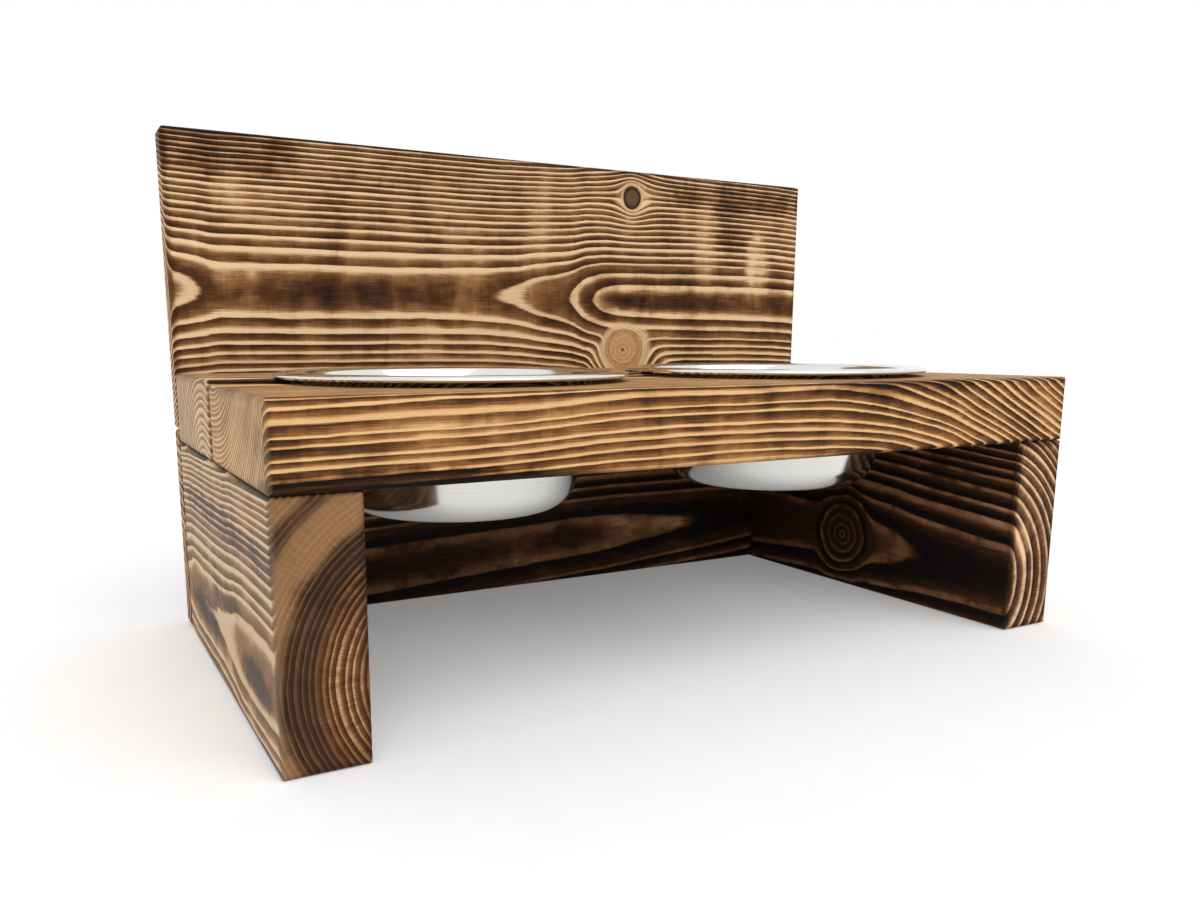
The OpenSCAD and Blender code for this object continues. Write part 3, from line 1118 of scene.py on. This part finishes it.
class STAND_OT_dowels(bpy.types.Operator):
    """Stands the fluted dowels between the legs and the top boards"""

    bl_idname = "stand.dowels"
    bl_label = "Make the Dowels"

    def execute(self, context):
        size = context.scene.stand_dowels
        nodes = [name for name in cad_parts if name.startswith("dowel")]
        places = [box_middle(node) for node in nodes]
        piece = grown(
            "fluted_dowels", places, [], None, fluted_dowel_tree(),
            {
                "Material": beech_material(),
                "Diameter": size.diameter,
                "Length": size.length,
                "Chamfer": size.chamfer,
                "Flutes": size.flutes,
                "Flute Depth": size.flute_depth,
            },
        )
        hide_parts(*nodes)
        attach(piece, "stand")
        return {"FINISHED"}


class STAND_OT_screws(bpy.types.Operator):
    """Plates the screws with yellow zinc"""

    bl_idname = "stand.screws"
    bl_label = "Plate the Screws"

    def execute(self, context):
        material = zinc_material()
        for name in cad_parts:
            if "screw" in name:
                dress(name, material)
        return {"FINISHED"}


class STAND_OT_studio(bpy.types.Operator):
    """Sets up the pale floor, the soft light and the camera"""

    bl_idname = "stand.studio"
    bl_label = "Set Up the Studio"

    def execute(self, context):
        scene = context.scene
        scene.view_settings.view_transform = "Standard"
        scene.camera = make_camera()
        make_floor(scene.stand_studio.floor_size)
        make_lights(scene)
        return {"FINISHED"}


def make_camera():
    lens = bpy.data.cameras.new("Camera")
    lens.lens = CAMERA_LENS
    lens.sensor_width = SENSOR_WIDTH
    lens.shift_x = SHIFT_X
    lens.shift_y = SHIFT_Y
    lens.clip_start = CAMERA_NEAREST
    camera = new_object("Camera", lens)
    camera.location = CAMERA_PLACE
    camera.rotation_euler = (math.radians(CAMERA_PITCH), 0.0, math.radians(CAMERA_YAW))
    return camera


def seen_directly(graph):
    """1 where the camera or a mirror image sees a place, 0 where it only lights others."""
    path = graph.node("ShaderNodeLightPath").outputs
    return graph.maths("MAXIMUM", path["Is Camera Ray"], path["Is Glossy Ray"])


def make_floor(side):
    """A pale floor that looks white, but keeps the stand's shadow."""
    half = side / 2
    mesh = bpy.data.meshes.new("floor")
    corners = [(-half, -half, 0), (half, -half, 0), (half, half, 0), (-half, half, 0)]
    mesh.from_pydata(corners, [], [(0, 1, 2, 3)])
    floor = new_object("floor", mesh)
    material, graph, place, _ = new_material("Pale Floor")
    speck = graph.noise(place, FLOOR_SPECKS_IN_A_MM)[0]
    colour = graph.blend(graph.ramp(speck, 0.3, 0.7), (0.90, 0.90, 0.90, 1), (0.92, 0.92, 0.92, 1))
    matt = graph.node("ShaderNodeBsdfDiffuse", colour).outputs[0]
    glow = graph.node("ShaderNodeEmission", WHITE, FLOOR_GLOW).outputs[0]
    both = graph.node("ShaderNodeAddShader", matt, glow).outputs[0]
    mixed = graph.node("ShaderNodeMixShader", seen_directly(graph), matt, both).outputs[0]
    graph.node("ShaderNodeOutputMaterial", mixed)
    tidy_layout(material.node_tree)
    mesh.materials.append(material)


def make_lights(scene):
    """A white backdrop with a weaker even light of its own, and one large soft lamp."""
    world = bpy.data.worlds.new("Soft Box")
    world.use_nodes = True
    world.node_tree.nodes.clear()
    graph = Graph(world.node_tree)
    backdrop = graph.node("ShaderNodeBackground", WHITE, 1.0).outputs[0]
    light = graph.node("ShaderNodeBackground", WHITE, scene.stand_studio.sky).outputs[0]
    mixed = graph.node("ShaderNodeMixShader", seen_directly(graph), light, backdrop).outputs[0]
    graph.node("ShaderNodeOutputWorld", mixed)
    tidy_layout(world.node_tree)
    scene.world = world
    lamp = bpy.data.lights.new("Key", "SUN")
    lamp.angle = math.radians(KEY_SPREAD)
    lamp.energy = scene.stand_studio.key_strength
    key = new_object("Key", lamp)
    key.location = KEY_PLACE
    key.rotation_euler = (-Vector(KEY_PLACE)).to_track_quat("-Z", "Y").to_euler()


class STAND_PT_panel(bpy.types.Panel):
    """Lists the stand's settings and its steps"""

    bl_label = "Feeding Stand"
    bl_idname = "STAND_PT_panel"
    bl_space_type = "VIEW_3D"
    bl_region_type = "UI"
    bl_category = "Feeding Stand"

    def draw(self, context):
        layout = self.layout
        for group, kind in SETTINGS.items():
            box = layout.box()
            for name in kind.__annotations__:
                box.prop(getattr(context.scene, group), name)
        for step in STEPS:
            layout.operator(step.bl_idname)


WOOD_GROUPS = (
    trunk_rings, flow_round, knot_rings, side_scorch_and_shade, torch_patch, year_band, edge_distance, scorched_grain,
)
SETTINGS = {
    "stand_wood": WoodSettings,
    "stand_bowls": BowlSettings,
    "stand_dowels": DowelSettings,
    "stand_studio": StudioSettings,
}
STEPS = (STAND_OT_boards, STAND_OT_bowls, STAND_OT_dowels, STAND_OT_screws, STAND_OT_studio)
CLASSES = (*SETTINGS.values(), *STEPS, STAND_PT_panel)


def register():
    for item in CLASSES:
        bpy.utils.register_class(item)
    for name, kind in SETTINGS.items():
        setattr(bpy.types.Scene, name, PointerProperty(type=kind))


def unregister():
    for name in SETTINGS:
        delattr(bpy.types.Scene, name)
    for item in reversed(CLASSES):
        bpy.utils.unregister_class(item)


def main():
    register()
    for step in STEPS:
        family, name = step.bl_idname.split(".")
        getattr(getattr(bpy.ops, family), name)()


if __name__ == "__main__":
    main()
